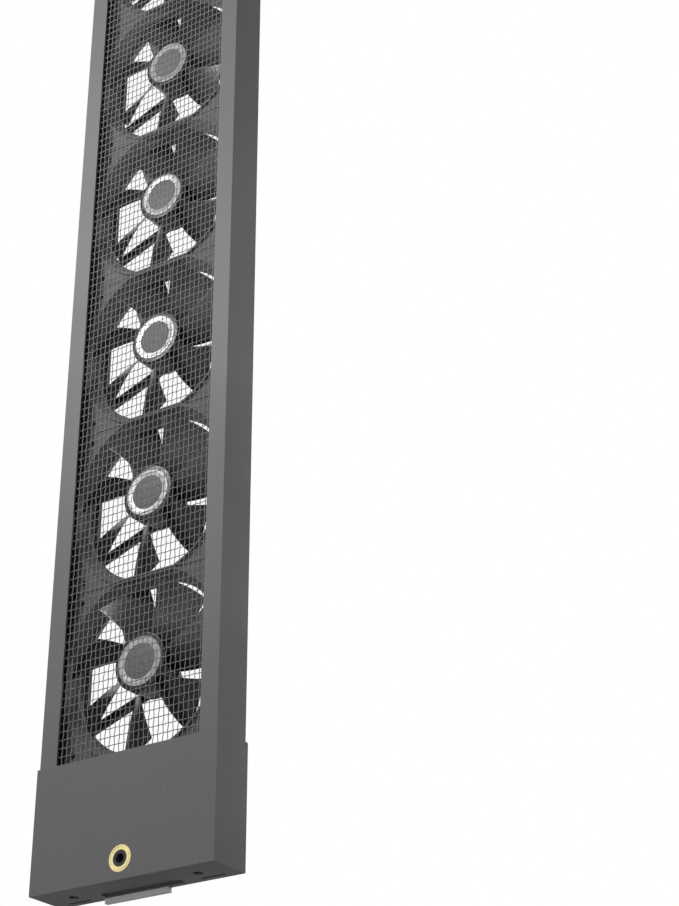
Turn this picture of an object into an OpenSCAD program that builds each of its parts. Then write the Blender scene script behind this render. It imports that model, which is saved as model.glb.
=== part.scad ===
// Window fan: a slim box column that holds a vertical stack of axial fans behind a wire screen.
// X runs to the right seen from the front, Y runs from front to back, Z is up.
// The origin is at the bottom centre of the column's bounding box. Millimetres.

/* [Column] */
// Free width between the fan stack and each side wall
side_channel = 7.8; // [7.4:0.1:18]
// Depth of the casing
column_d = 29.5; // [29:0.5:40]
// Thickness of the casing sheet
skin = 1.2; // [1:0.1:1.4]
// Thickness of the rear panel
panel_t = 1.5; // [1.2:0.1:1.8]
// How far the front window and the rear opening lie inside the fans' sides
window_cover = 4.3; // [3.5:0.1:10]
// Free height between the fan stack and the edge of each end cap
window_over = 2.1; // [1:0.1:5]
// Width of the lips along the casing's rear edges
lip_w = 5; // [4.5:0.1:5.4]

/* [End caps] */
// Height of the lower cap
lower_cap_h = 81.1; // [76:0.1:100]
// Height of the upper cap
upper_cap_h = 30; // [24:1:60]
// Wall of the cap sleeves
cap_wall = 1; // [0.8:0.1:1.6]
// Thickness of the caps' end walls
cap_floor = 3; // [2.6:0.1:5]
// Distance from a side of the casing to the screw hole in the underside
sill_hole_inset = 21.7; // [19:0.1:24]
// Diameter of the screw holes in the underside
sill_hole_d = 6; // [4:0.1:6.5]
// Width of the recess in the underside
recess_w = 60; // [50:1:66]
// Depth of the recess in the underside
recess_deep = 1.5; // [1:0.1:2]
// Width of the pale tongue under the rear edge
tongue_w = 49; // [40:1:52]
// How far the tongue stands below the underside
tongue_drop = 3.3; // [2:0.1:5]

/* [Screen] */
// Distance between upright wires
wire_pitch_x = 3.8; // [3:0.1:5]
// Distance between level wires
wire_pitch_z = 5.6; // [4:0.1:7]
// Thickness of a wire
wire_t = 0.6; // [0.5:0.05:0.7]
// Width of the border that holds the wires
screen_border_w = 6; // [5:0.5:8]

/* [Fans] */
// Distance between the axes of two fans
fan_size = 120; // [112:0.5:130]
// Free width between two housings
housing_gap = 0.6; // [0.4:0.1:1]
// Depth of a housing between its front and rear plates
fan_body_d = 17; // [16.4:0.2:18]
// Height of the round rim above the front plates
rim_proud = 1.8; // [1:0.1:2]
// Half the distance between the fans' axes, less the radius of a duct
duct_margin = 2; // [1.9:0.1:4]
// Wall of the duct
duct_wall = 1.5; // [1:0.1:1.6]
// How far the flared inlet would reach past half the distance between the fans' axes
inlet_over = 3; // [1:0.1:4]
// Depth of the flared inlet
inlet_deep = 8.5; // [4:0.1:10]
// Wall left beside the inlet and the outlet at the middle of each side
inlet_side_wall = 1.2; // [1:0.1:1.3]
// How far the flared outlet would reach past half the distance between the fans' axes
outlet_over = 1.5; // [1:0.1:3]
// Depth of the flared outlet
outlet_deep = 6; // [4.5:0.1:8]
// Thickness of the front and rear corner plates
corner_plate_t = 4; // [3:0.1:5]
// Distance from a housing's side to the middle of its corner holes
corner_hole_inset = 7.5; // [7:0.1:8]
// Diameter of the corner holes
corner_hole_d = 4.3; // [3.5:0.1:4.5]
// Width of a strut
strut_w = 6; // [4:0.1:7]
// Distance from the fan's axis to the middle line of a strut
strut_side = 12.9; // [9:0.1:14]
// Thickness of the struts
strut_t = 3; // [2.5:0.1:3.2]

/* [Impellers] */
// Diameter of the hub
hub_d = 40; // [38:0.5:42]
// Height of the hub's face above the rim
hub_proud = 0.3; // [0:0.1:1]
// Wall of the hub
hub_wall = 1.6; // [1.4:0.1:1.8]
// Gap between the blade tips and the duct
tip_gap = 2.2; // [1:0.1:3]
// Turn of one blade round the axis at the hub, in degrees
blade_chord_root = 36.8; // [30:0.1:42]
// Turn of one blade round the axis at the tip, in degrees
blade_chord_tip = 34.5; // [28:0.1:42]
// Depth of a blade from its front edge to its rear edge at the tip
blade_deep = 14.6; // [10:0.1:15.4]
// Thickness of a blade at its middle
blade_t = 1.6; // [1.2:0.1:2]
// Lean of the tips round the axis against the roots, in degrees
blade_lean = 15; // [0:0.5:18]
// Diameter of the shafts
shaft_d = 3; // [2.5:0.1:3.4]

/* [Power socket] */
// Diameter of the flange ring
ring_d = 16.6; // [15:0.1:18]
// Diameter of the socket's barrel
barrel_d = 10.4; // [9:0.1:11]
// Diameter of the mouth that takes the plug
mouth_d = 5.9; // [5.7:0.1:6.4]
// Depth of the mouth, up to the wider chamber round the centre pin
mouth_len = 3; // [2:0.1:3.2]
// Diameter of the centre pin
pin_d = 2.1; // [1.7:0.1:2.5]
// Height of the socket above the underside
socket_h = 13; // [12:0.5:16]
// Length of the barrel
barrel_len = 14; // [12:0.5:16]

/* [Hidden] */
$fn = 64;
fan_count = 6;
blade_count = 7;
strut_count = 4;
fan_parts = ["fan_housing", "impeller", "hub_ring", "hub_disc", "shaft", "magnet_ring"];

// Overrun of a cut past the face that it opens
cut = 1;
// Play between a cap and the casing, and between the rear panel and the side walls
seat_play = 0.1;
// Play of a screw or a barrel in its hole
hole_play = 0.05;
// Running play between a shaft and its bearing, on the radius
running_play = 0.04;

// Widths that follow the fans
column_w = fan_size + 2 * (side_channel + skin);
window_w = fan_size - 2 * window_cover;
duct_d = fan_size - 2 * duct_margin;
inlet_d = fan_size + 2 * inlet_over;
outlet_d = fan_size + 2 * outlet_over;
housing_w = fan_size - housing_gap;
corner_hole_spacing = fan_size - 2 * corner_hole_inset;
sill_hole_spacing = column_w - 2 * sill_hole_inset;

// Levels
underside_z = tongue_drop;
lower_cap_top = underside_z + lower_cap_h;
stack_z = lower_cap_top + window_over;
stack_top = stack_z + fan_count * fan_size;
upper_cap_bottom = stack_top + window_over;
total_h = upper_cap_bottom + upper_cap_h;
casing_bottom = underside_z + cap_floor + seat_play;
casing_top = total_h - cap_floor - seat_play;
// How far the window runs on behind the edge of each cap
window_hide = 2;
window_bottom = lower_cap_top - window_hide;
window_top = upper_cap_bottom + window_hide;
window_h = window_top - window_bottom;
function fan_z(i) = stack_z + (i - 0.5) * fan_size;

// Depths, from the front face at -column_d / 2 to the rear face at column_d / 2
front_y = -column_d / 2;
rear_y = column_d / 2;
sheet_back_y = front_y + skin;
fan_back_y = rear_y - panel_t;
plate_front_y = fan_back_y - fan_body_d;
rim_front_y = plate_front_y - rim_proud;
hub_face_y = rim_front_y - hub_proud;
lip_front_y = fan_back_y - skin;
side_x = column_w / 2 - skin;

// Round corners of the housings' plates
plate_corner_r = 4;

// Motor inside the hub and on the housing
base_t = 2;
base_d = hub_d - 1;
base_front_y = fan_back_y - base_t;
motor_board_t = 1;
// Free edge of the housing's base round the motor board
motor_board_inset = 1.6;
motor_board_d = base_d - 2 * motor_board_inset;
motor_board_front_y = base_front_y - motor_board_t;
// Free depth between the hub's open end and the motor board
hub_end_gap = 0.8;
hub_back_y = motor_board_front_y - hub_end_gap;
hub_face_t = 1.8;
hub_cup_y = hub_face_y + hub_face_t;
hub_edge_r = 1;
hub_inner_d = hub_d - 2 * hub_wall;
boss_d = 7;
boss_len = 3;
bearing_d = 8;
bearing_tube_d = 10.8;
// Free depth between the boss and the bearing
boss_gap = 0.5;
bearing_front_y = hub_cup_y + boss_len + boss_gap;
magnet_t = 1.9;
magnet_len_share = 0.75;
// Air gap between the stator and the magnet ring
air_gap = 0.6;
stator_d = hub_inner_d - 2 * magnet_t - 2 * air_gap;
stator_len_share = 0.45;
stator_pole_count = 4;
stator_yoke_wall = 2.5;
stator_yoke_d = bearing_tube_d + 2 * stator_yoke_wall;
// How far the yoke stands out past the poles
yoke_over = 0.3;
pole_w = 5;
pole_shoe_t = 1.6;
coil_w = 9;
// How far the coils stand out at both ends of the stator
coil_over = 1.6;
coil_inner_share = 0.56;
coil_outer_share = 0.8;
hub_hollow = hub_back_y - hub_cup_y;

// Blades
blade_r0 = hub_d / 2 - hub_wall / 2;
blade_r1 = duct_d / 2 - tip_gap;
// Height of the tips' front edges above the rim
blade_front_over = 1;
blade_tip_front_y = rim_front_y - blade_front_over;
// Distance from the hub's face to the roots' front edges
blade_root_inset = 0.4;
blade_root_front_y = hub_face_y + blade_root_inset;
blade_root_deep_share = 0.86;
blade_root_deep = (hub_back_y - hub_face_y) * blade_root_deep_share;
// Angles of a blade's middle line: start at the root, and a small curl back towards the tip
blade_phase = -2.5;
blade_curl = -3.1;
blade_steps_r = 5;
blade_steps_u = 6;
// Thickness of a blade's edges as a share of its middle
blade_edge_share = 0.35;
// Direction of the strut that carries the fan's lead
strut_phase = 199.8;
// Start of the struts along their own direction, inside the base
strut_start = 5;
// How far the struts' backs lie inside the housing's rear face
strut_inset = 0.2;

// Bright ring and disc on the hub's face
trim_r = 16.9;
trim_lip = 0.9;
trim_groove = 1;
trim_band = 2.8;
trim_t = 0.5;
trim_floor = 0.2;
disc_t = 0.3;

// Screen
// Gap between the layer of upright wires, the layer of level wires and the border's faces
wire_gap = 0.03;
screen_t = 2 * wire_t + 3 * wire_gap;
screen_w = window_w + 2 * screen_border_w;
screen_h = window_h + 2 * screen_border_w;
// How far the border's inner edge lies outside the window
border_set = 1;
wire_count_x = floor((window_w + border_set) / wire_pitch_x);
wire_count_z = floor((window_h + border_set) / wire_pitch_z);

// Rails that hold the fans against the rear panel
rail_t = 1.2;
rail_leg = 6;
rail_grip = 2;

// Screws
screw_head_d = 4.6;
screw_shank_d = 2.5;
panel_screw_len = panel_t + skin;
panel_head_share = 0.8;
panel_screw_head_t = panel_t * panel_head_share;
cap_screw_len = 5;
cap_screw_x = 40;
cap_screw_h = 20;
cap_screw_drop = 12;

// Underside
slot_inset = 18.15;
slot_x = column_w / 2 - slot_inset;
slot_w = 17.3;
slot_t = 2;
slot_back = 4.4;
recess_front = 3.5;
recess_corner_r = 2;
tongue_t = 3;
tongue_x = -8.5;
tongue_sunk = 1;
// Wall left between the tongue's groove, the recess and the cap's rear face
groove_web = 0.5;
tongue_back = column_d / 2 + seat_play + cap_wall - groove_web;
tongue_front = tongue_back - tongue_t;
recess_back = tongue_front - groove_web;

// Power socket
ring_groove = 0.4;
ring_groove_w = 0.5;
ring_groove_share = 0.62;
chamber_step = 0.65;
chamber_deep = 9;
pin_inset = 3.4;
nut_t = 2.5;
nut_wall = 2.3;
nut_corner_d = barrel_d + 2 * nut_wall;
tag_w = 2;
tag_t = 0.4;
tag_len = 4;
tag_spacing = 5;
socket_z = underside_z + socket_h;
cap_face_y = front_y - seat_play - cap_wall;
barrel_back_y = cap_face_y + barrel_len;

// Control board in the lower bay
board_w = 70;
board_h = 42;
board_t = 1.6;
// Height of the board's lower edge above the socket's middle
board_over_socket = 11;
board_bottom_z = socket_z + board_over_socket;
post_len = 6;
post_d = 5;
post_inset = 5;
board_front_y = sheet_back_y + post_len;
board_back_y = board_front_y + board_t;
chip_t = 2.2;
// Places of the chip's edges and of the two round cans, as shares of the board's sides
chip_x_shares = [0.12, 0.34];
chip_z_shares = [0.25, 0.5];
can_x_share = -0.25;
can_z_shares = [0.25, 0.75];
can_d = 9;
can_len = 9;

// Leads
lead_d = 1.6;
riser_d = 2.6;
flat_lead_w = 3.6;
flat_lead_t = 1.1;
// Distance between a housing's side and the riser lead
riser_stand = 2.2;
riser_x = -(fan_size / 2 + riser_stand + riser_d / 2);
riser_y = lip_front_y - riser_d / 2 - hole_play;
riser_start_x = -28;
// Distance from the board's upper edge to the riser lead
riser_start_drop = 8;
riser_start_z = board_bottom_z + board_h - riser_start_drop;
// Flat leads lie in a groove along one strut, leave the duct and turn level towards the riser lead
flat_lead_back_y = base_front_y;
flat_lead_front_y = flat_lead_back_y - flat_lead_t;
flat_lead_r1 = duct_d / 2 + duct_wall + flat_lead_w / 2;
// Start and end of the flat lead's run along its strut
flat_lead_start = sqrt(pow(motor_board_d / 2, 2) - pow(strut_side - flat_lead_w / 2, 2));
flat_lead_end = sqrt(pow(flat_lead_r1, 2) - pow(strut_side, 2));
// How much thinner the level run is on each face
flat_lead_thin = 0.02;
clip_wall = 0.8;
clip_h = 6;
clip_grip_share = 0.6;

// Copies at both ends of a distance, along X
module both_x(x) {
    for (side = [-1, 1])
        translate([side * x, 0, 0])
            children();
}

// Block from its lowest corner to its highest corner
module block(low, high) {
    translate(low)
        cube(high - low);
}

// Rod along Y from y0 to y1
module rod_y(d, y0, y1, sides = $fn) {
    translate([0, y1, 0])
        rotate([90, 0, 0])
            cylinder(d = d, h = y1 - y0, $fn = sides);
}

// Cone along Y, d0 at y0 and d1 at y1
module cone_y(d0, d1, y0, y1) {
    translate([0, y1, 0])
        rotate([90, 0, 0])
            cylinder(d1 = d1, d2 = d0, h = y1 - y0);
}

// Square plate with round corners in X and Z, from y0 to y1
module plate_y(w, h, r, y0, y1) {
    translate([0, y1, 0])
        rotate([90, 0, 0])
            linear_extrude(y1 - y0)
                round_rect(w, h, r);
}

// Solid turned round the Y axis: points are [radius, y]
module turned_y(points) {
    rotate([-90, 0, 0])
        rotate_extrude()
            polygon(points);
}

// Countersunk screw along Y, head at y_head and tip at lower y
module sunk_screw(head_t, len, y_head) {
    cone_y(screw_shank_d, screw_head_d, y_head - head_t, y_head);
    rod_y(screw_shank_d, y_head - len, y_head - head_t);
}

// Hole for the same screw, wider by the hole play all round
module sunk_hole(head_t, len, y_head) {
    cone_y(screw_shank_d + 2 * hole_play, screw_head_d + 2 * hole_play, y_head - head_t, y_head);
    rod_y(screw_head_d + 2 * hole_play, y_head, y_head + cut);
    rod_y(screw_shank_d + 2 * hole_play, y_head - len - cut, y_head - head_t);
}

// Rod between two points, with a ball at its end
module lead_run(p, q, d) {
    v = q - p;
    translate(p)
        rotate([0, acos(v.z / norm(v)), atan2(v.y, v.x)])
            cylinder(d = d, h = norm(v));
}

// Round lead through a list of points, with a ball at each bend
module lead(points, d) {
    for (i = [0:len(points) - 2])
        lead_run(points[i], points[i + 1], d);
    for (i = [1:len(points) - 2])
        translate(points[i])
            sphere(d = d);
}

// Heights of the screws along the rear panel's edges
module at_panel_screws() {
    for (i = [1:fan_count])
        translate([0, 0, fan_z(i) + fan_size / 4])
            both_x(side_x - lip_w / 2)
                children();
}

// Places of the two screws in each cap's rear wall
module at_cap_screws() {
    for (z = [underside_z + cap_screw_h, total_h - cap_screw_drop])
        translate([0, 0, z])
            both_x(cap_screw_x)
                children();
}

// Cut of the window's outline through a sheet between two depths
module window_cut(y0, y1) {
    block([-window_w / 2, y0 - cut, window_bottom], [window_w / 2, y1 + cut, window_top]);
}

module casing() {
    color([0.33, 0.33, 0.34])
        difference() {
            union() {
                difference() {
                    block([-column_w / 2, front_y, casing_bottom],
                          [column_w / 2, rear_y, casing_top]);
                    block([-side_x, sheet_back_y, casing_bottom - cut],
                          [side_x, rear_y + cut, casing_top + cut]);
                }
                for (side = [0, 1])
                    mirror([side, 0, 0])
                        block([side_x - lip_w, lip_front_y, casing_bottom],
                              [side_x + skin / 2, fan_back_y, casing_top]);
            }
            window_cut(front_y, sheet_back_y);
            translate([0, 0, socket_z])
                rod_y(barrel_d + 2 * hole_play, front_y - cut, sheet_back_y + cut);
            at_panel_screws()
                sunk_hole(panel_screw_head_t, panel_screw_len, rear_y);
        }
}

module rear_panel() {
    panel_x = side_x - seat_play;
    color([0.24, 0.24, 0.25])
        difference() {
            block([-panel_x, fan_back_y, casing_bottom], [panel_x, rear_y, casing_top]);
            window_cut(fan_back_y, rear_y);
            at_panel_screws()
                sunk_hole(panel_screw_head_t, panel_screw_len, rear_y);
            at_cap_screws()
                rod_y(screw_shank_d + 2 * hole_play, fan_back_y - cut, rear_y + cut);
        }
}

module screen() {
    y0 = sheet_back_y;
    inner_w = window_w + 2 * border_set;
    inner_h = window_h + 2 * border_set;
    mid_z = (window_bottom + window_top) / 2;
    color([0.42, 0.42, 0.43]) {
        difference() {
            block([-screen_w / 2, y0, mid_z - screen_h / 2],
                  [screen_w / 2, y0 + screen_t, mid_z + screen_h / 2]);
            block([-inner_w / 2, y0 - cut, mid_z - inner_h / 2],
                  [inner_w / 2, y0 + screen_t + cut, mid_z + inner_h / 2]);
        }
        for (i = [0:wire_count_x - 1])
            translate([(i - (wire_count_x - 1) / 2) * wire_pitch_x, 0, 0])
                block([-wire_t / 2, y0 + wire_gap, mid_z - inner_h / 2 - border_set],
                      [wire_t / 2, y0 + wire_gap + wire_t, mid_z + inner_h / 2 + border_set]);
        for (i = [0:wire_count_z - 1])
            translate([0, 0, mid_z + (i - (wire_count_z - 1) / 2) * wire_pitch_z])
                block([-inner_w / 2 - border_set, y0 + 2 * wire_gap + wire_t, -wire_t / 2],
                      [inner_w / 2 + border_set, y0 + 2 * wire_gap + 2 * wire_t, wire_t / 2]);
    }
}

module fan_rails() {
    front = rim_front_y - rail_t;
    color([0.2, 0.2, 0.21])
        for (side = [0, 1])
            mirror([side, 0, 0]) {
                block([fan_size / 2 - rail_grip, front, stack_z], [side_x, rim_front_y, stack_top]);
                block([side_x - rail_t, front - rail_leg, stack_z], [side_x, rim_front_y, stack_top]);
            }
}

// Sleeve of an end cap between z0 and z1, open above
module cap_sleeve(z0, z1) {
    x = column_w / 2 + seat_play;
    y = column_d / 2 + seat_play;
    difference() {
        block([-x - cap_wall, -y - cap_wall, z0], [x + cap_wall, y + cap_wall, z1]);
        block([-x, -y, z0 + cap_floor], [x, y, z1 + cut]);
    }
}

// Flat rectangle with round corners
module round_rect(w, h, r) {
    square([w - 2 * r, h], center = true);
    square([w, h - 2 * r], center = true);
    for (x = [-1, 1], y = [-1, 1])
        translate([x * (w / 2 - r), y * (h / 2 - r)])
            circle(r);
}

module lower_cap() {
    color([0.32, 0.32, 0.33])
        difference() {
            cap_sleeve(underside_z, lower_cap_top);
            translate([0, 0, socket_z])
                rod_y(ring_d + 2 * hole_play, cap_face_y - cut, front_y + cut);
            at_cap_screws()
                sunk_hole(cap_wall, cap_screw_len, -cap_face_y);
            both_x(sill_hole_spacing / 2)
                translate([0, 0, underside_z - cut])
                    cylinder(d = sill_hole_d, h = cap_floor + 2 * cut);
            both_x(slot_x)
                block([-slot_w / 2, rear_y - slot_back - slot_t / 2, underside_z - cut],
                      [slot_w / 2, rear_y - slot_back + slot_t / 2, underside_z + cap_floor + cut]);
            translate([0, (recess_front + recess_back) / 2, underside_z - cut])
                linear_extrude(cut + recess_deep)
                    round_rect(recess_w, recess_back - recess_front, recess_corner_r);
            block([tongue_x - tongue_w / 2, tongue_front, underside_z - cut],
                  [tongue_x + tongue_w / 2, tongue_back, underside_z + tongue_sunk]);
        }
}

module upper_cap() {
    color([0.32, 0.32, 0.33])
        difference() {
            translate([0, 0, total_h])
                mirror([0, 0, 1])
                    cap_sleeve(0, upper_cap_h);
            at_cap_screws()
                sunk_hole(cap_wall, cap_screw_len, -cap_face_y);
        }
}

module panel_screws() {
    color([0.55, 0.55, 0.56])
        at_panel_screws()
            sunk_screw(panel_screw_head_t, panel_screw_len, rear_y);
}

module cap_screws() {
    color([0.55, 0.55, 0.56])
        at_cap_screws()
            sunk_screw(cap_wall, cap_screw_len, -cap_face_y);
}

module sill_tongue() {
    color([0.9, 0.9, 0.89])
        block([tongue_x - tongue_w / 2, tongue_front, underside_z - tongue_drop],
              [tongue_x + tongue_w / 2, tongue_back, underside_z + tongue_sunk]);
}

module socket_ring() {
    mid_r = (barrel_d + (ring_d - barrel_d) * ring_groove_share) / 2;
    color([0.8, 0.72, 0.42])
        translate([0, 0, socket_z])
            difference() {
                rod_y(ring_d, cap_face_y, front_y);
                rod_y(barrel_d + 2 * hole_play, cap_face_y - cut, front_y + cut);
                difference() {
                    rod_y(2 * mid_r + ring_groove_w, cap_face_y - cut, cap_face_y + ring_groove);
                    rod_y(2 * mid_r - ring_groove_w, cap_face_y - 2 * cut, cap_face_y + cut);
                }
            }
}

module socket_barrel() {
    color([0.12, 0.12, 0.13])
        translate([0, 0, socket_z])
            difference() {
                rod_y(barrel_d, cap_face_y, barrel_back_y);
                rod_y(mouth_d, cap_face_y - cut, cap_face_y + mouth_len + cut);
                rod_y(mouth_d + 2 * chamber_step, cap_face_y + mouth_len, cap_face_y + chamber_deep);
            }
}

module socket_pin() {
    color([0.85, 0.85, 0.86])
        translate([0, 0, socket_z])
            rod_y(pin_d, cap_face_y + pin_inset, cap_face_y + chamber_deep);
}

module socket_nut() {
    color([0.6, 0.6, 0.6])
        translate([0, 0, socket_z])
            difference() {
                rod_y(nut_corner_d, sheet_back_y, sheet_back_y + nut_t, 6);
                rod_y(barrel_d + 2 * hole_play, sheet_back_y - cut, sheet_back_y + nut_t + cut);
            }
}

module socket_tags() {
    color([0.78, 0.7, 0.5])
        translate([0, 0, socket_z])
            both_x(tag_spacing / 2)
                block([-tag_w / 2, barrel_back_y, -tag_t / 2],
                      [tag_w / 2, barrel_back_y + tag_len, tag_t / 2]);
}

module control_board() {
    color([0.1, 0.3, 0.16]) {
        block([-board_w / 2, board_front_y, board_bottom_z],
              [board_w / 2, board_back_y, board_bottom_z + board_h]);
        translate([0, 0, board_bottom_z])
            block([board_w * chip_x_shares[0], board_back_y, board_h * chip_z_shares[0]],
                  [board_w * chip_x_shares[1], board_back_y + chip_t, board_h * chip_z_shares[1]]);
        for (share = can_z_shares)
            translate([board_w * can_x_share, 0, board_bottom_z + board_h * share])
                rod_y(can_d, board_back_y, board_back_y + can_len);
    }
}

module board_posts() {
    color([0.72, 0.6, 0.3])
        for (z = [post_inset, board_h - post_inset])
            translate([0, 0, board_bottom_z + z])
                both_x(board_w / 2 - post_inset)
                    rod_y(post_d, sheet_back_y, board_front_y);
}

module supply_leads() {
    lead_y = barrel_back_y + tag_len / 2;
    color([0.6, 0.1, 0.1])
        both_x(tag_spacing / 2)
            lead([[0, lead_y, socket_z + tag_t / 2],
                  [0, lead_y, board_bottom_z + lead_d],
                  [0, board_back_y, board_bottom_z + lead_d]], lead_d);
}

module riser_lead() {
    color([0.08, 0.08, 0.09])
        lead([[riser_start_x, board_back_y, riser_start_z],
              [riser_start_x, riser_y, riser_start_z],
              [riser_x, riser_y, riser_start_z],
              [riser_x, riser_y, fan_z(fan_count) + flat_lead_w]], riser_d);
}

module lead_clips() {
    color([0.7, 0.7, 0.68])
        for (i = [1:fan_count])
            translate([0, 0, fan_z(i) - fan_size / 4])
                difference() {
                    block([-side_x, riser_y - riser_d / 2 - clip_wall, -clip_h / 2],
                          [riser_x + riser_d / 2 * clip_grip_share, lip_front_y - hole_play / 2, clip_h / 2]);
                    translate([riser_x, riser_y, -clip_h / 2 - cut])
                        cylinder(d = riser_d + hole_play, h = clip_h + 2 * cut);
                }
}

// Route of a flat lead from the motor board to x0, wider by a play all round, between two depths
module flat_lead_route(x0, play, y0, y1) {
    w = flat_lead_w + 2 * play;
    turn_x = flat_lead_end * cos(strut_phase) - strut_side * sin(strut_phase);
    turn_z = flat_lead_end * sin(strut_phase) + strut_side * cos(strut_phase);
    rotate([0, -strut_phase, 0])
        block([flat_lead_start - play, y0, strut_side - w / 2],
              [flat_lead_end + w / 4, y1, strut_side + w / 2]);
    block([x0, y0 + flat_lead_thin, turn_z - w / 2], [turn_x, y1 - flat_lead_thin, turn_z + w / 2]);
}

module fan_leads() {
    color([0.1, 0.1, 0.11])
        for (i = [1:fan_count])
            translate([0, 0, fan_z(i)])
                flat_lead_route(riser_x + riser_d / 2, 0, flat_lead_front_y, flat_lead_back_y);
}

// Wound stators: a yoke with four poles, pole shoes and coils
module stators() {
    y0 = bearing_front_y + (hub_back_y - bearing_front_y) * (1 - stator_len_share) / 2;
    y1 = y0 + hub_hollow * stator_len_share;
    color([0.45, 0.3, 0.18])
        for (i = [1:fan_count])
            translate([0, 0, fan_z(i)])
                difference() {
                    intersection() {
                        union() {
                            rod_y(stator_yoke_d, y0 - yoke_over, y1 + yoke_over);
                            for (k = [0:stator_pole_count - 1])
                                rotate([0, k * 360 / stator_pole_count + 45, 0]) {
                                    block([0, y0, -pole_w / 2], [stator_d / 2, y1, pole_w / 2]);
                                    block([stator_d / 2 * coil_inner_share, y0 - coil_over, -coil_w / 2],
                                          [stator_d / 2 * coil_outer_share, y1 + coil_over, coil_w / 2]);
                                    block([stator_d / 2 - pole_shoe_t, y0, -coil_w / 2],
                                          [stator_d / 2 + cut, y1, coil_w / 2]);
                                }
                        }
                        rod_y(stator_d, y0 - coil_over, y1 + coil_over);
                    }
                    rod_y(bearing_tube_d, y0 - cut, y1 + cut);
                }
}

module motor_boards() {
    color([0.1, 0.3, 0.16])
        for (i = [1:fan_count])
            translate([0, 0, fan_z(i)])
                difference() {
                    rod_y(motor_board_d, motor_board_front_y, base_front_y);
                    rod_y(bearing_tube_d, motor_board_front_y - cut, base_front_y + cut);
                }
}

module bearings() {
    color([0.7, 0.6, 0.4])
        for (i = [1:fan_count])
            translate([0, 0, fan_z(i)])
                difference() {
                    rod_y(bearing_d, bearing_front_y, base_front_y);
                    rod_y(shaft_d + 2 * running_play, bearing_front_y - cut, base_front_y + cut);
                }
}

// Cone along the flared inlet, wider by a wall, from a little in front of the rim to behind the flare
module inlet_cone(wall, over) {
    slope = (inlet_d - duct_d) / 2 / inlet_deep;
    cone_y(inlet_d + 2 * (wall + slope * over), duct_d + 2 * (wall - slope * cut),
           rim_front_y - over, rim_front_y + inlet_deep + cut);
}

// Cone along the flared outlet, wider by a wall, from before the flare to a little behind the rear face
module outlet_cone(wall, over) {
    slope = (outlet_d - duct_d) / 2 / outlet_deep;
    cone_y(duct_d + 2 * (wall - slope * cut), outlet_d + 2 * (wall + slope * over),
           fan_back_y - outlet_deep - cut, fan_back_y + over);
}

// Housing's shell: the duct with both its flares, cut off at the four sides, and a plate at both ends
module duct_shell() {
    rear_plate_y = fan_back_y - corner_plate_t;
    inlet_x = housing_w / 2 - inlet_side_wall;
    difference() {
        union() {
            plate_y(housing_w, housing_w, plate_corner_r, plate_front_y, plate_front_y + corner_plate_t);
            plate_y(housing_w, housing_w, plate_corner_r, rear_plate_y, fan_back_y);
            intersection() {
                union() {
                    rod_y(duct_d + 2 * duct_wall, rim_front_y, fan_back_y);
                    inlet_cone(duct_wall, 0);
                    outlet_cone(duct_wall, 0);
                }
                plate_y(housing_w, housing_w, plate_corner_r, rim_front_y, fan_back_y);
            }
        }
        rod_y(duct_d, rim_front_y - cut, fan_back_y + cut);
        intersection() {
            inlet_cone(0, cut);
            block([-inlet_x, rim_front_y - 2 * cut, -inlet_x], [inlet_x, fan_back_y, inlet_x]);
        }
        intersection() {
            outlet_cone(0, cut);
            block([-inlet_x, rim_front_y, -inlet_x], [inlet_x, fan_back_y + 2 * cut, inlet_x]);
        }
        for (x = [-1, 1], z = [-1, 1])
            translate([x * corner_hole_spacing / 2, 0, z * corner_hole_spacing / 2])
                rod_y(corner_hole_d, plate_front_y - cut, fan_back_y + cut);
    }
}

module fan_housing(i) {
    rear_plate_y = fan_back_y - corner_plate_t;
    strut_end = sqrt(pow(outlet_d / 2 + duct_wall / 4, 2) - pow(strut_side - strut_w / 2, 2));
    color([0.3, 0.3, 0.31])
        translate([0, 0, fan_z(i)])
            difference() {
                union() {
                    duct_shell();
                    rod_y(base_d, base_front_y, fan_back_y);
                    rod_y(bearing_tube_d, bearing_front_y, base_front_y);
                    difference() {
                        for (k = [0:strut_count - 1])
                            rotate([0, -strut_phase - k * 360 / strut_count, 0])
                                block([strut_start, fan_back_y - strut_t, strut_side - strut_w / 2],
                                      [strut_end, fan_back_y - strut_inset, strut_side + strut_w / 2]);
                        rod_y(motor_board_d + 2 * hole_play, motor_board_front_y - cut, base_front_y);
                    }
                }
                rod_y(bearing_d, bearing_front_y - cut, base_front_y);
                flat_lead_route(-fan_size / 2 - cut, hole_play, rear_plate_y - cut,
                                flat_lead_back_y + hole_play);
            }
}

// Angle round the fan's axis of a point on a blade
function blade_angle(t, u) =
    blade_phase + blade_lean * t + blade_curl * t * t
    + u * (blade_chord_root + (blade_chord_tip - blade_chord_root) * t);

// Point on a blade: t runs from root to tip, u from the rear edge at -0.5 to the front edge at 0.5,
// and side is -1 on the front surface and 1 on the rear surface
function blade_point(t, u, side) =
    let (r = blade_r0 + (blade_r1 - blade_r0) * t,
         deep = blade_root_deep + (blade_deep - blade_root_deep) * t,
         front = blade_root_front_y + (blade_tip_front_y - blade_root_front_y) * t,
         thick = blade_t * (blade_edge_share + (1 - blade_edge_share) * (1 - 4 * u * u)))
    [r * cos(blade_angle(t, u)), front + deep * (0.5 - u) + side * thick / 2, r * sin(blade_angle(t, u))];

// Two triangles over four corners, clockwise from outside
function quad(a, b, c, d) = [[a, b, c], [a, c, d]];

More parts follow.
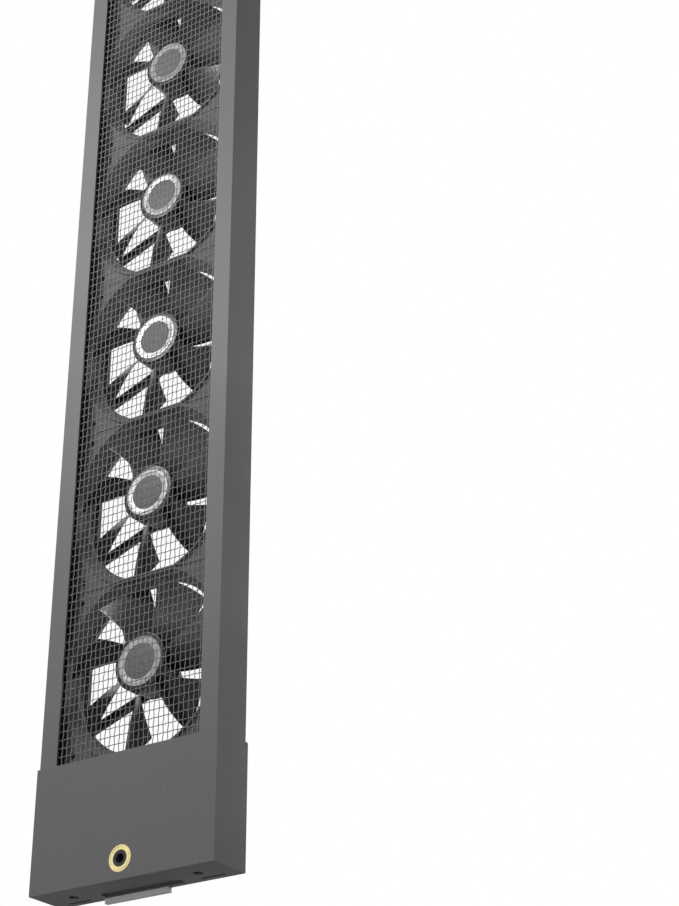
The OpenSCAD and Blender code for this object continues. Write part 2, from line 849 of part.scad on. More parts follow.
// One blade: a closed skin over a grid of points on its front and rear surfaces
module blade() {
    cols = blade_steps_u + 1;
    surface = (blade_steps_r + 1) * cols;
    points = [for (side = [-1, 1]) for (j = [0:blade_steps_r]) for (k = [0:blade_steps_u])
        blade_point(j / blade_steps_r, k / blade_steps_u - 0.5, side)];
    front = function (j, k) j * cols + k;
    rear = function (j, k) surface + j * cols + k;
    last_j = blade_steps_r;
    last_k = blade_steps_u;
    skins = [for (j = [0:last_j - 1]) for (k = [0:last_k - 1])
        each concat(quad(front(j, k), front(j, k + 1), front(j + 1, k + 1), front(j + 1, k)),
                    quad(rear(j, k), rear(j + 1, k), rear(j + 1, k + 1), rear(j, k + 1)))];
    long_edges = [for (j = [0:last_j - 1])
        each concat(quad(front(j, 0), front(j + 1, 0), rear(j + 1, 0), rear(j, 0)),
                    quad(front(j, last_k), rear(j, last_k), rear(j + 1, last_k), front(j + 1, last_k)))];
    root_and_tip = [for (k = [0:last_k - 1])
        each concat(quad(front(0, k), rear(0, k), rear(0, k + 1), front(0, k + 1)),
                    quad(front(last_j, k), front(last_j, k + 1), rear(last_j, k + 1), rear(last_j, k)))];
    polyhedron(points, concat(skins, long_edges, root_and_tip), convexity = 4);
}

module impeller(i) {
    r = hub_d / 2;
    ri = hub_inner_d / 2;
    color([0.16, 0.16, 0.17])
        translate([0, 0, fan_z(i)]) {
            turned_y([[shaft_d / 2, hub_face_y], [r - hub_edge_r, hub_face_y], [r, hub_face_y + hub_edge_r],
                      [r, hub_back_y], [ri, hub_back_y], [ri, hub_cup_y], [boss_d / 2, hub_cup_y],
                      [boss_d / 2, hub_cup_y + boss_len], [shaft_d / 2, hub_cup_y + boss_len]]);
            for (k = [0:blade_count - 1])
                rotate([0, -k * 360 / blade_count, 0])
                    blade();
        }
}

// Bright ring: a thin raised lip outside, a groove, and a broad sloping band inside
module hub_ring(i) {
    r0 = trim_r - trim_lip - trim_groove - trim_band;
    r1 = r0 + trim_band;
    r2 = r1 + trim_groove;
    color([0.8, 0.8, 0.8])
        translate([0, 0, fan_z(i)])
            turned_y([[r0, hub_face_y], [r0, hub_face_y - trim_floor], [r1, hub_face_y - trim_t],
                      [r1, hub_face_y - trim_floor], [r2, hub_face_y - trim_floor], [r2, hub_face_y - trim_t],
                      [trim_r, hub_face_y - trim_t], [trim_r, hub_face_y]]);
}

module hub_disc(i) {
    r0 = trim_r - trim_lip - trim_groove - trim_band;
    color([0.4, 0.4, 0.41])
        translate([0, 0, fan_z(i)])
            rod_y(2 * r0, hub_face_y - disc_t, hub_face_y);
}

module shaft(i) {
    color([0.8, 0.8, 0.82])
        translate([0, 0, fan_z(i)])
            rod_y(shaft_d, hub_face_y, base_front_y - hub_end_gap / 2);
}

module magnet_ring(i) {
    y1 = hub_cup_y + hub_hollow * magnet_len_share;
    color([0.2, 0.18, 0.17])
        translate([0, 0, fan_z(i)])
            difference() {
                rod_y(hub_inner_d, hub_cup_y, y1);
                rod_y(hub_inner_d - 2 * magnet_t, hub_cup_y - cut, y1 + cut);
            }
}

casing();
rear_panel();
screen();
fan_rails();
lower_cap();
upper_cap();
panel_screws();
cap_screws();
sill_tongue();
socket_ring();
socket_barrel();
socket_pin();
socket_nut();
socket_tags();
control_board();
board_posts();
supply_leads();
riser_lead();
lead_clips();
fan_leads();
stators();
motor_boards();
bearings();
for (i = [1:fan_count]) {
    fan_housing(i);
    impeller(i);
    hub_ring(i);
    hub_disc(i);
    shaft(i);
    magnet_ring(i);
}
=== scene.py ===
import math

import bmesh
import bpy
import numpy as np
from mathutils import Matrix, Vector


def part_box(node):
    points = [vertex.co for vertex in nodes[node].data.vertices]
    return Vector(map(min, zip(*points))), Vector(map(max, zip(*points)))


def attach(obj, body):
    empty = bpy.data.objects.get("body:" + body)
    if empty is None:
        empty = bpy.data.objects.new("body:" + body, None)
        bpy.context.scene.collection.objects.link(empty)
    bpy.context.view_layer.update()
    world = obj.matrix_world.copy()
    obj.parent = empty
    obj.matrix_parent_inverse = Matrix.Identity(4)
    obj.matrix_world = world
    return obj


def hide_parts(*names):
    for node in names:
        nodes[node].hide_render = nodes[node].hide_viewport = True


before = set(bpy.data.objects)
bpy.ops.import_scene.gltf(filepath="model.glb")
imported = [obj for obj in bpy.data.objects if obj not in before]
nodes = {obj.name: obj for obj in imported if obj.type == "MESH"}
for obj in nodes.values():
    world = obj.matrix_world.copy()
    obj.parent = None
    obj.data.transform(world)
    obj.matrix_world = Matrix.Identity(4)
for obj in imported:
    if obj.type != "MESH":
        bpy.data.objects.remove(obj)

scene = bpy.context.scene
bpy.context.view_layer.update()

# Camera: it stands low on the right and looks steeply up along the column, so every line of
# sight climbs and the floor lies below the view.
camera_place = Vector((0.7437, -0.9254, -0.3348))
camera_right = Vector((0.83967, 0.54309, -0.00314))
camera_up = Vector((0.25887, -0.39514, 0.88139))
camera_ahead = Vector((-0.47743, 0.74089, 0.47238))
camera_data = bpy.data.cameras.new("camera")
camera_data.lens = 79.3
camera_data.sensor_width = 36
camera_data.clip_start = 0.01
camera_data.clip_end = 20
camera = bpy.data.objects.new("camera", camera_data)
turn = Matrix((camera_right, camera_up, -camera_ahead)).transposed()
camera.matrix_world = Matrix.Translation(camera_place) @ turn.to_4x4()
scene.collection.objects.link(camera)
scene.camera = camera


# Casing: one sheet of steel, folded into a channel with a tall window in its front and a lip
# along each rear edge, and covered with a dark grey powder coat. The rear panel is screwed on.
# Folds are shaded sharp above one angle, and triangles within another angle are one flat face.
casing_colour = (0.165, 0.165, 0.168)
casing_roughness = 0.52
fold_edge = 0.00045
panel_edge = 0.0003
sharp_angle = 35
flat_within = 1
merge_within = 1e-6


def new_piece(name, corners, faces, smooth_below=sharp_angle):
    """A mesh object from corner points and faces, smooth where two faces meet below an angle
    in degrees."""
    mesh = bpy.data.meshes.new(name)
    mesh.from_pydata(corners.tolist(), [], faces)
    mesh.polygons.foreach_set("use_smooth", [True] * len(mesh.polygons))
    mesh.set_sharp_from_angle(angle=math.radians(smooth_below))
    piece = bpy.data.objects.new(name, mesh)
    scene.collection.objects.link(piece)
    return piece


def eased_copy(name, node, edge):
    """The node's own solid with its triangles merged into flat faces and its edges rounded."""
    source = nodes[node].data
    shape = bmesh.new()
    corners = [shape.verts.new(v.co) for v in source.vertices]
    for polygon in source.polygons:
        shape.faces.new([corners[i] for i in polygon.vertices])
    bmesh.ops.remove_doubles(shape, verts=shape.verts, dist=merge_within)
    bmesh.ops.dissolve_limit(shape, angle_limit=math.radians(flat_within), verts=shape.verts,
                             edges=shape.edges)
    mesh = bpy.data.meshes.new(name)
    shape.to_mesh(mesh)
    shape.free()
    mesh.polygons.foreach_set("use_smooth", [True] * len(mesh.polygons))
    piece = bpy.data.objects.new(name, mesh)
    scene.collection.objects.link(piece)
    round_edge = piece.modifiers.new("round_edge", "BEVEL")
    round_edge.width = edge
    round_edge.segments = 2
    round_edge.limit_method = "ANGLE"
    round_edge.angle_limit = math.radians(sharp_angle)
    flat_faces = piece.modifiers.new("flat_faces", "WEIGHTED_NORMAL")
    flat_faces.keep_sharp = True
    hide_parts(node)
    return piece


def node_of(tree, kind, **sockets):
    """A shader node with its sockets set or linked by name."""
    made = tree.nodes.new(kind)
    for name, value in sockets.items():
        socket = made.inputs[name.replace("_", " ")]
        if isinstance(value, bpy.types.NodeSocket):
            tree.links.new(value, socket)
        else:
            socket.default_value = value
    return made


def new_group(name, takes, gives):
    """An empty shader group with the given inputs, each with its default, and outputs."""
    group = bpy.data.node_groups.new(name, "ShaderNodeTree")
    for label, kind, value in takes:
        socket = group.interface.new_socket(label, in_out="INPUT", socket_type="NodeSocket" + kind)
        socket.default_value = value
    for label, kind in gives:
        group.interface.new_socket(label, in_out="OUTPUT", socket_type="NodeSocket" + kind)
    return group, group.nodes.new("NodeGroupInput"), group.nodes.new("NodeGroupOutput")


def maths(tree, operation, first, second=0.0):
    """The output of a Math node with two numbers or links."""
    made = tree.nodes.new("ShaderNodeMath")
    made.operation = operation
    for socket, value in zip(made.inputs, (first, second)):
        if isinstance(value, bpy.types.NodeSocket):
            tree.links.new(value, socket)
        else:
            socket.default_value = value
    return made.outputs[0]


def colour_mix(tree, share, first, second):
    """The colour first * (1 - share) + second * share. A colour Mix node has its share in input 0,
    its colours in inputs 6 and 7, and the mixed colour in output 2."""
    made = tree.nodes.new("ShaderNodeMix")
    made.data_type = "RGBA"
    for index, value in ((0, share), (6, first), (7, second)):
        if isinstance(value, bpy.types.NodeSocket):
            tree.links.new(value, made.inputs[index])
        else:
            made.inputs[index].default_value = value
    return made.outputs[2]


def noise_share(tree, place, scale, detail, low, high):
    """Noise over a place, with its values from low to high spread over 0 to 1."""
    noise = node_of(tree, "ShaderNodeTexNoise", Vector=place, Scale=scale, Detail=detail)
    spread = node_of(tree, "ShaderNodeMapRange", Value=noise.outputs[0])
    spread.inputs["From Min"].default_value = low
    spread.inputs["From Max"].default_value = high
    return spread.outputs[0]


# The skin of every coated or moulded surface: a fine grain, cloudy shade and a little dust. Clouds
# and specks are counted per metre, and the clouds swing the roughness up and down.
clouds_per_metre = 9.0
cloud_detail = 4.0
cloud_low, cloud_high = 0.3, 0.7
specks_per_metre = 420.0
speck_detail = 2.0
speck_low, speck_high = 0.58, 0.76
grain_detail = 3.0
grain_height_share = 0.3
roughness_swing = 0.1
dust_colour = (0.55, 0.54, 0.52, 1)
skin_group, skin_in, skin_out = new_group(
    "skin",
    [("Colour", "Color", (0.2, 0.2, 0.2, 1)), ("Cloud", "Float", 0.06), ("Roughness", "Float", 0.5),
     ("Grain per metre", "Float", 1500.0), ("Dust", "Float", 0.05)],
    [("Colour", "Color"), ("Roughness", "Float"), ("Height", "Float")])
skin_place = skin_group.nodes.new("ShaderNodeTexCoord").outputs["Object"]
skin_clouds = noise_share(skin_group, skin_place, clouds_per_metre, cloud_detail,
                          cloud_low, cloud_high)
skin_specks = noise_share(skin_group, skin_place, specks_per_metre, speck_detail,
                          speck_low, speck_high)
skin_grain = node_of(skin_group, "ShaderNodeTexNoise", Vector=skin_place,
                     Scale=skin_in.outputs["Grain per metre"], Detail=grain_detail)
skin_factor = maths(skin_group, "MULTIPLY", skin_clouds, skin_in.outputs["Cloud"])
skin_darker = colour_mix(skin_group, skin_factor, skin_in.outputs["Colour"], (0.0, 0.0, 0.0, 1))
skin_dust = maths(skin_group, "MULTIPLY", skin_specks, skin_in.outputs["Dust"])
skin_tone = colour_mix(skin_group, skin_dust, skin_darker, dust_colour)
skin_group.links.new(skin_tone, skin_out.inputs["Colour"])
skin_rough = maths(skin_group, "MULTIPLY_ADD", skin_clouds, roughness_swing)
skin_rough.node.inputs[2].default_value = -roughness_swing / 2
skin_sum = maths(skin_group, "ADD", skin_rough, skin_in.outputs["Roughness"])
skin_group.links.new(maths(skin_group, "ADD", skin_sum, skin_dust), skin_out.inputs["Roughness"])
skin_group.links.new(skin_grain.outputs[0], skin_out.inputs["Height"])


def skin_material(name, colour, roughness, grain=1500.0, bump=0.12, cloud=0.06, dust=0.05,
                  metallic=0.0, specular=0.2):
    """A coated, moulded or plain metal surface with the shared skin. The grain's height is a share
    of its spacing, 1 / grain."""
    material = bpy.data.materials.new(name)
    material.use_nodes = True
    tree = material.node_tree
    shader = tree.nodes["Principled BSDF"]
    skin = tree.nodes.new("ShaderNodeGroup")
    skin.node_tree = skin_group
    skin.inputs["Colour"].default_value = (*colour, 1)
    skin.inputs["Cloud"].default_value = cloud
    skin.inputs["Roughness"].default_value = roughness
    skin.inputs["Grain per metre"].default_value = grain
    skin.inputs["Dust"].default_value = dust
    relief = node_of(tree, "ShaderNodeBump", Height=skin.outputs["Height"], Strength=bump)
    relief.inputs["Distance"].default_value = grain_height_share / grain
    tree.links.new(skin.outputs["Colour"], shader.inputs["Base Color"])
    tree.links.new(skin.outputs["Roughness"], shader.inputs["Roughness"])
    tree.links.new(relief.outputs["Normal"], shader.inputs["Normal"])
    shader.inputs["Metallic"].default_value = metallic
    shader.inputs["Specular IOR Level"].default_value = specular
    return material


def dress(material, *names):
    """Gives the CAD nodes with these names a material."""
    for name in names:
        for held in nodes[name].material_slots:
            held.material = material


casing_coat = skin_material("casing_coat", casing_colour, casing_roughness)
casing_skin = eased_copy("casing_skin", "casing", fold_edge)
casing_skin.data.materials.append(casing_coat)
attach(casing_skin, "frame")
rear_panel_skin = eased_copy("rear_panel_skin", "rear_panel", panel_edge)
rear_panel_skin.data.materials.append(casing_coat)
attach(rear_panel_skin, "frame")


# End caps: two moulded sleeves of dark grey plastic that stand a millimetre proud of the casing.
# The lower one carries the power socket and has the sill holes, slots and recess underneath.
cap_colour = (0.158, 0.158, 0.161)
cap_edge = 0.0004
cap_plastic = skin_material("cap_plastic", cap_colour, 0.5, grain=2200.0, bump=0.1)
for cap in ("lower_cap", "upper_cap"):
    cap_skin = eased_copy(cap + "_skin", cap, cap_edge)
    cap_skin.data.materials.append(cap_plastic)
    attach(cap_skin, "frame")


# Sill tongue: a pale plastic strip under the rear edge of the lower cap.
# It is moulded on its own and sits in a groove in the cap's underside.
tongue_plastic = skin_material("tongue_plastic", (0.92, 0.92, 0.9), 0.4, grain=1800.0, specular=0.5)
dress(tongue_plastic, "sill_tongue")


# Screws: small countersunk steel screws that hold the rear panel and the caps.
# Their heads lie flush with the back of the panel and of the sleeves.
screw_steel = skin_material("screw_steel", (0.5, 0.5, 0.5), 0.35, metallic=1.0, cloud=0.15)
dress(screw_steel, "panel_screws", "cap_screws")


# Screen: steel wires woven over and under one another, coated like the casing, in a flat border
# that is clamped behind the window.
screen_low, screen_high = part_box("screen")
wire_r = 0.0003
pitch_x = 0.0038
pitch_z = 0.0056
upright_count = 29
level_count = 130
wire_sides = 5
wire_smooth_below = 80
steps_per_crossing = 4
crimp = 0.000305
border_w = 0.005


def woven_wires(name, along, count, pitch, crossings, crossing_pitch, sense):
    """Wires side by side at a pitch, each a round rod on the line y = crimp * cos(pi * s), where s
    counts the crossings, and each wire is half a wave behind its neighbour."""
    across = 2 - along
    middle = (np.array(screen_low) + np.array(screen_high)) / 2
    half = (np.array(screen_high) - np.array(screen_low))[along] / 2 - border_w / 2
    step = crossing_pitch / steps_per_crossing
    rings = 2 * int(half / step) + 1
    run = (np.arange(rings) - (rings - 1) / 2) * step
    around = np.linspace(0, 2 * math.pi, wire_sides, endpoint=False)
    which = np.arange(count)
    phase = run[None, :] / crossing_pitch + (crossings - 1) / 2 + which[:, None]
    depth = sense * crimp * np.cos(math.pi * phase)
    points = np.empty((count, rings, wire_sides, 3))
    points[..., along] = middle[along] + run[None, :, None]
    offset = (which - (count - 1) / 2) * pitch
    points[..., across] = middle[across] + offset[:, None, None] + wire_r * np.cos(around)
    points[..., 1] = middle[1] + depth[:, :, None] + wire_r * np.sin(around)
    index = np.arange(count * rings * wire_sides).reshape(count, rings, wire_sides)
    here, ahead = index[:, :-1], index[:, 1:]
    quads = np.stack([here, np.roll(here, -1, 2), np.roll(ahead, -1, 2), ahead], -1).reshape(-1, 4)
    if along == 0:
        quads = quads[:, ::-1]
    ends = np.concatenate([index[:, 0], index[:, -1, ::-1]])
    if along == 2:
        ends = ends[:, ::-1]
    return new_piece(name, points.reshape(-1, 3), quads.tolist() + ends.tolist(), wire_smooth_below)


wire_coat = skin_material("wire_coat", (0.26, 0.26, 0.264), 0.45, grain=3000.0, bump=0.05)
uprights = woven_wires("screen_uprights", 2, upright_count, pitch_x, level_count, pitch_z, 1)
levels = woven_wires("screen_levels", 0, level_count, pitch_z, upright_count, pitch_x, -1)


def screen_border(name):
    """A flat rectangular frame: the box's outline, and the same outline moved in by the border."""
    low, high = np.array(screen_low), np.array(screen_high)
    corners = []
    for y in (low[1], high[1]):
        for inset in (0, border_w):
            for x, z in ((0, 0), (1, 0), (1, 1), (0, 1)):
                corners.append([(low[0] + inset) * (1 - x) + (high[0] - inset) * x, y,
                                (low[2] + inset) * (1 - z) + (high[2] - inset) * z])
    faces = []
    for k in range(4):
        n = (k + 1) % 4
        faces += [[k, n, 4 + n, 4 + k], [8 + n, 8 + k, 12 + k, 12 + n],
                  [n, k, 8 + k, 8 + n], [4 + k, 4 + n, 12 + n, 12 + k]]
    return new_piece(name, np.array(corners), faces)


border = screen_border("screen_border")
for piece in (uprights, levels, border):
    piece.data.materials.append(wire_coat)
    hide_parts("screen")
    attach(piece, "frame")


# Fan rails: two steel angles that press the fans' rims back against the rear panel.
# Each is a long strip of sheet, folded once and coated; its near-black colour is partly painted shade
# for the shadowed strip beside the fans.
# The near-black base colour is partly the coat and partly painted shade along the fans' sides.
rail_coat_and_painted_shade = skin_material("rail_coat_and_painted_shade", (0.05, 0.05, 0.055), 0.5)
dress(rail_coat_and_painted_shade, "fan_rails")


# Fan housings: square frames moulded in dark grey plastic, each with a round duct that flares at
# both ends, corner plates, and four struts that run past the axis to the motor's base.
fan_count = 6


def one_per_fan(node):
    """The names of a node that each fan has, counted from the lowest fan."""
    return [f"{node}_{i}" for i in range(1, fan_count + 1)]


housing_plastic = skin_material("housing_plastic", (0.15, 0.15, 0.152), 0.55, grain=1300.0, bump=0.2,
                                specular=0.1)
dress(housing_plastic, *one_per_fan("fan_housing"))


# Impellers: one black plastic moulding each, a cup shaped hub with seven twisted blades.
# Each turns with its shaft, magnet ring and the trim on its face.
blade_count = 7
hub_r = 0.020
hub_inner_r = 0.0184
hub_face_y = -0.00585
hub_back_y = 0.00945
hub_cup_y = -0.00405
hub_edge = 0.0011
hub_rear_edge = 0.0003
boss_r = 0.0035
boss_back_y = -0.00105
shaft_r = 0.0015
blade_r0 = 0.0192
blade_r1 = 0.0558
blade_thick = 0.0016
blade_edge_share = 0.35
blade_bluntness = 0.5
blade_root_front = -0.00545
blade_tip_front = -0.00655
blade_root_deep = 0.013158
blade_tip_deep = 0.0146
chord_root, chord_tip = 36.8, 34.5
blade_phase, blade_lean, blade_curl = -2.5, 15.0, -3.1
rings_along = 22
points_round = 40
turned_smooth_below = 40
axis_merge = 1e-7


def fan_middle_z(i):
    """Height of a fan's axis."""
    low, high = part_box(f"shaft_{i}")
    return (low.z + high.z) / 2


def blades():
    """Seven blades round the axis. t runs from root to tip and s round the section. u = cos(s) / 2
    is the place across the blade, and y = front + deep * (0.5 - u) plus or minus half the thickness
    times |sin(s)| ** bluntness. The angle round the axis is phase + lean * t + curl * t * t + u *
    chord, in degrees, so that each blade is a piece of a screw."""
    t = np.linspace(0, 1, rings_along)[:, None]
    s = np.linspace(0, 2 * math.pi, points_round, endpoint=False)[None, :]
    u = np.cos(s) / 2
    r = blade_r0 + (blade_r1 - blade_r0) * t + 0 * u
    deep = blade_root_deep + (blade_tip_deep - blade_root_deep) * t
    front = blade_root_front + (blade_tip_front - blade_root_front) * t
    thick = blade_thick * (blade_edge_share + (1 - blade_edge_share) * (1 - 4 * u * u))
    side = np.sign(np.sin(s)) * np.abs(np.sin(s)) ** blade_bluntness
    y = front + deep * (0.5 - u) + side * thick / 2
    chord = chord_root + (chord_tip - chord_root) * t
    angle = blade_phase + blade_lean * t + blade_curl * t * t + u * chord
    points, faces = [], []
    index = np.arange(rings_along * points_round).reshape(rings_along, points_round)
    here, ahead = index[:-1], index[1:]
    quads = np.stack([here, ahead, np.roll(ahead, -1, 1), np.roll(here, -1, 1)], -1).reshape(-1, 4)
    for k in range(blade_count):
        a = np.radians(angle + k * 360 / blade_count)
        points.append(np.stack([r * np.cos(a), y, r * np.sin(a)], -1).reshape(-1, 3))
        start = k * rings_along * points_round
        faces += (quads + start).tolist()
        faces += [(index[0] + start).tolist(), (index[-1][::-1] + start).tolist()]
    return np.concatenate(points), faces


def turned(profile, steps=96):
    """A closed profile of [radius, y] points turned round the Y axis: x = r * cos(a) and
    z = r * sin(a)."""
    profile = np.array(profile)
    a = np.linspace(0, 2 * math.pi, steps, endpoint=False)
    count = len(profile)
    points = np.empty((count, steps, 3))
    points[..., 0] = profile[:, :1] * np.cos(a)
    points[..., 1] = profile[:, 1:]
    points[..., 2] = profile[:, :1] * np.sin(a)
    index = np.arange(count * steps).reshape(count, steps)
    ahead = np.roll(index, -1, 0)
    quads = np.stack([index, np.roll(index, -1, 1), np.roll(ahead, -1, 1), ahead], -1).reshape(-1, 4)
    return points.reshape(-1, 3), quads.tolist()


def corner_arc(r, y, radius, start, steps=5):
    """A rounded corner: the points (r + radius * cos(a), y + radius * sin(a)) of a quarter circle,
    from a start angle in degrees."""
    a = np.radians(start + np.linspace(0, 90, steps))
    return np.stack([r + radius * np.cos(a), y + radius * np.sin(a)], -1).tolist()


def join(first, second):
    """Two meshes as one list of points and one list of faces."""
    shift = len(first[0])
    moved = [[corner + shift for corner in face] for face in second[1]]
    return np.concatenate([first[0], second[0]]), first[1] + moved


def outward(piece):
    """Merges the points that meet on the axis and turns every face of a closed piece outwards."""
    shape = bmesh.new()
    shape.from_mesh(piece.data)
    bmesh.ops.remove_doubles(shape, verts=shape.verts, dist=axis_merge)
    bmesh.ops.recalc_face_normals(shape, faces=shape.faces)
    shape.to_mesh(piece.data)
    shape.free()
    return piece


hub_profile = ([[shaft_r, hub_face_y]]
               + corner_arc(hub_r - hub_edge, hub_face_y + hub_edge, hub_edge, -90)
               + [[hub_r, hub_back_y - hub_rear_edge], [hub_r - hub_rear_edge, hub_back_y],
                  [hub_inner_r, hub_back_y], [hub_inner_r, hub_cup_y], [boss_r, hub_cup_y],
                  [boss_r, boss_back_y], [shaft_r, boss_back_y]])
impeller_plastic = skin_material("impeller_plastic", (0.006, 0.006, 0.0063), 0.28, grain=1800.0,
                                 bump=0.06, dust=0.01, specular=0.38)
wheel_points, wheel_faces = join(turned(hub_profile), blades())
for i in range(1, fan_count + 1):
    wheel = new_piece(f"impeller_wheel_{i}", wheel_points + [0, 0, fan_middle_z(i)], wheel_faces,
                      turned_smooth_below)
    outward(wheel)
    wheel.data.materials.append(impeller_plastic)
    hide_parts(f"impeller_{i}")
    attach(wheel, f"rotor_{i}")


# Hub trim: a spun bright metal ring with a narrow rolled edge, a groove and a broad sloping band,
# pressed on the hub's face round a grey disc.
trim_lip_out = 0.0169
trim_lip_in = 0.0160
trim_band_out = 0.0149
trim_band_in = 0.0122
trim_high = 0.0005
trim_low = 0.0002
lip_foot = 0.00005
band_slope = 0.0001
disc_play = 0.00005
disc_wall = 0.0002
disc_high = 0.0003
disc_edge = 0.0003
ring_steps = 128
disc_steps = 96


def rolled(r0, r1, low, high, steps=9):
    """Points on a half wave from radius r1 to r0: low + (high - low) * sin(pi * share) in front of
    the hub's face."""
    share = np.linspace(0, 1, steps)
    r = r1 + (r0 - r1) * share
    return np.stack([r, hub_face_y - low - (high - low) * np.sin(math.pi * share)], -1).tolist()


groove_y = hub_face_y - trim_low
ring_profile = ([[trim_band_in, hub_face_y], [trim_lip_out, hub_face_y]]
                + rolled(trim_lip_in, trim_lip_out, lip_foot, trim_high)
                + [[trim_lip_in, groove_y], [trim_band_out, groove_y],
                   [trim_band_out - band_slope, hub_face_y - trim_high], [trim_band_in, groove_y]])
ring_metal = skin_material("ring_metal", (0.5, 0.5, 0.505), 0.36, grain=900.0, bump=0.05,
                           cloud=0.1, metallic=0.55)
disc_plastic = skin_material("disc_plastic", (0.19, 0.19, 0.194), 0.5, grain=1600.0)
disc_r = trim_band_in - disc_play
disc_profile = [[0.0, hub_face_y], [disc_r, hub_face_y], [disc_r, hub_face_y - disc_wall],
                [trim_band_in - disc_edge, hub_face_y - disc_high], [0.0, hub_face_y - disc_high]]
ring_points, ring_faces = turned(ring_profile, ring_steps)
disc_points, disc_faces = turned(disc_profile, disc_steps)
for i in range(1, fan_count + 1):
    lift = [0, 0, fan_middle_z(i)]
    for name, node, points, faces, material in (
            ("trim_ring", "hub_ring", ring_points, ring_faces, ring_metal),
            ("trim_disc", "hub_disc", disc_points, disc_faces, disc_plastic)):
        trim = outward(new_piece(f"{name}_{i}", points + lift, faces, turned_smooth_below))
        trim.data.materials.append(material)
        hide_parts(f"{node}_{i}")
        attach(trim, f"rotor_{i}")


# Motors: a steel shaft in a sintered bearing, a magnet ring in the hub, a wound stator and a small
# green circuit board on the housing's base.
shaft_steel = skin_material("shaft_steel", (0.7, 0.7, 0.72), 0.22, metallic=1.0, cloud=0.1)
magnet_black = skin_material("magnet_black", (0.06, 0.05, 0.05), 0.65)
stator_copper = skin_material("stator_copper", (0.5, 0.2, 0.09), 0.4, grain=2500.0, bump=0.5,
                              metallic=0.7)
bearing_bronze = skin_material("bearing_bronze", (0.6, 0.42, 0.22), 0.45, metallic=1.0)
board_green = skin_material("board_green", (0.03, 0.15, 0.06), 0.4, cloud=0.3)
dress(shaft_steel, *one_per_fan("shaft"))
dress(magnet_black, *one_per_fan("magnet_ring"))
dress(stator_copper, "stators")
dress(bearing_bronze, "bearings")
dress(board_green, "motor_boards")


# Power socket: a gold coloured flange ring with one turned groove, a dark grey barrel with a
# round mouth, and a bright centre pin with a domed tip, held behind the sheet by a nut.
pin_low, pin_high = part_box("socket_pin")
pin_r = (pin_high[0] - pin_low[0]) / 2
pin_z = (pin_low[2] + pin_high[2]) / 2
pin_steps = 48
dome_steps = 9
dome = np.linspace(0, math.pi / 2, dome_steps)
pin_profile = [[0.0, pin_high[1]], [pin_r, pin_high[1]]] + np.stack(
    [pin_r * np.cos(dome), pin_low[1] + pin_r * (1 - np.sin(dome))], -1).tolist()
ring_gold = skin_material("ring_gold", (0.78, 0.68, 0.34), 0.28, grain=900.0, bump=0.05, metallic=1.0)
barrel_plastic = skin_material("barrel_plastic", (0.045, 0.045, 0.05), 0.4)
pin_chrome = skin_material("pin_chrome", (0.9, 0.9, 0.91), 0.12, metallic=1.0, cloud=0.02)
nut_steel = skin_material("nut_steel", (0.6, 0.6, 0.6), 0.35, metallic=1.0)
tag_brass = skin_material("tag_brass", (0.7, 0.6, 0.4), 0.4, metallic=1.0)
dress(ring_gold, "socket_ring")
dress(barrel_plastic, "socket_barrel")
pin_points, pin_faces = turned(pin_profile, pin_steps)
pin = outward(new_piece("contact_pin", pin_points + [0, 0, pin_z], pin_faces, turned_smooth_below))
pin.data.materials.append(pin_chrome)
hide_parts("socket_pin")
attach(pin, "frame")
dress(nut_steel, "socket_nut")
dress(tag_brass, "socket_tags")


# Control board: a green board with a chip and two cans, on brass posts behind the lower front.
# It stands on the inside of the casing's front sheet, above the power socket.
post_brass = skin_material("post_brass", (0.6, 0.5, 0.25), 0.35, metallic=1.0)
dress(board_green, "control_board")
dress(post_brass, "board_posts")


# Leads: insulated wires from the socket to the board, up the side channel and along one strut of
# each fan, with pale clips on the riser.
lead_red = skin_material("lead_red", (0.45, 0.02, 0.02), 0.4)
lead_black = skin_material("lead_black", (0.02, 0.02, 0.022), 0.5)
clip_plastic = skin_material("clip_plastic", (0.6, 0.6, 0.58), 0.5)
dress(lead_red, "supply_leads")
dress(lead_black, "riser_lead", "fan_leads")
dress(clip_plastic, "lead_clips")


# Stage: a plain pale floor well below the column, and four soft lamps: a small key close by on the
# left in front, two tall weak strips farther in front, and a large one behind on the right.
floor_z = -1.1
floor_half = 6.0
floor_lit_shade = 0.2
floor_seen_shade = 0.82
floor_seen_glow = 0.42


def grey(shade):
    """An even grey as a colour with its alpha."""
    return (shade, shade, shade, 1)


def seen_directly(tree):
    """1 where the eye, a reflection or a clear body looks at the surface, 0 where it only lights."""
    path = tree.nodes.new("ShaderNodeLightPath")
    mirrored = maths(tree, "MAXIMUM", path.outputs["Is Glossy Ray"],
                     path.outputs["Is Transmission Ray"])
    return maths(tree, "MAXIMUM", path.outputs["Is Camera Ray"], mirrored)


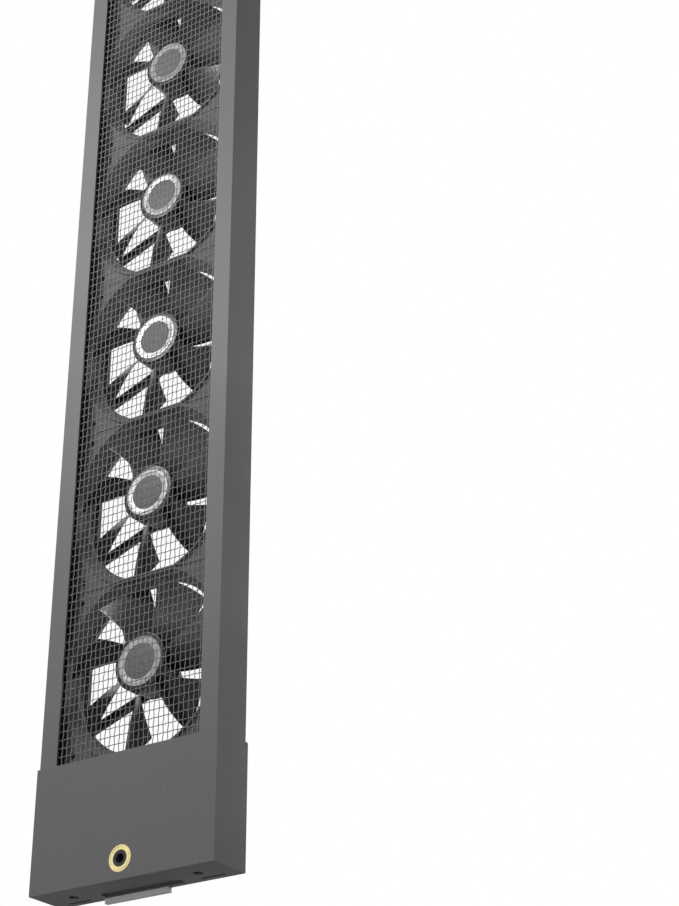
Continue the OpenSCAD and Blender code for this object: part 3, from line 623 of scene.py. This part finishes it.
floor_corners = [[x * floor_half, y * floor_half, floor_z]
                 for x, y in ((-1, -1), (1, -1), (1, 1), (-1, 1))]
floor = new_piece("floor", np.array(floor_corners), [[0, 1, 2, 3]])
floor_paint = bpy.data.materials.new("floor_paint")
floor_paint.use_nodes = True
floor_tree = floor_paint.node_tree
floor_seen = seen_directly(floor_tree)
floor_shader = floor_tree.nodes["Principled BSDF"]
floor_shader.inputs["Roughness"].default_value = 0.9
floor_shade = colour_mix(floor_tree, floor_seen, grey(floor_lit_shade), grey(floor_seen_shade))
floor_tree.links.new(floor_shade, floor_shader.inputs["Base Color"])
floor_glow = colour_mix(floor_tree, floor_seen, grey(0), grey(floor_seen_glow))
floor_tree.links.new(floor_glow, floor_shader.inputs["Emission Color"])
floor_shader.inputs["Emission Strength"].default_value = 1.0
floor.data.materials.append(floor_paint)

column_middle = Vector((0, 0, 0.42))


def soft_lamp(name, place, width, height, power):
    """A flat lamp of a power in watts that faces the middle of the column and isn't seen itself."""
    data = bpy.data.lights.new(name, "AREA")
    data.shape = "RECTANGLE"
    data.size = width
    data.size_y = height
    data.energy = power
    lamp = bpy.data.objects.new(name, data)
    lamp.location = place
    lamp.visible_camera = False
    lamp.rotation_mode = "QUATERNION"
    lamp.rotation_quaternion = (column_middle - Vector(place)).to_track_quat("-Z", "Y")
    scene.collection.objects.link(lamp)


soft_lamp("key_lamp", place=(-0.23, -0.45, 0.64), width=0.16, height=0.16, power=2.5)
soft_lamp("left_strip", place=(-0.15, -1.0, 0.18), width=0.2, height=1.25, power=2.8)
soft_lamp("right_strip", place=(0.45, -1.0, 0.2), width=0.3, height=1.2, power=2.4)
soft_lamp("rear_lamp", place=(0.65, 2.0, 1.3), width=1.2, height=1.2, power=18)

room_lit_shade = (0.08, 0.08, 0.081, 1)
world = bpy.data.worlds.new("studio")
scene.world = world
world.use_nodes = True
room = world.node_tree
room_light = room.nodes["Background"]
room_shade = colour_mix(room, seen_directly(room), room_lit_shade, grey(1))
room.links.new(room_shade, room_light.inputs["Color"])
room_light.inputs["Strength"].default_value = 1.0
scene.view_settings.view_transform = "Standard"
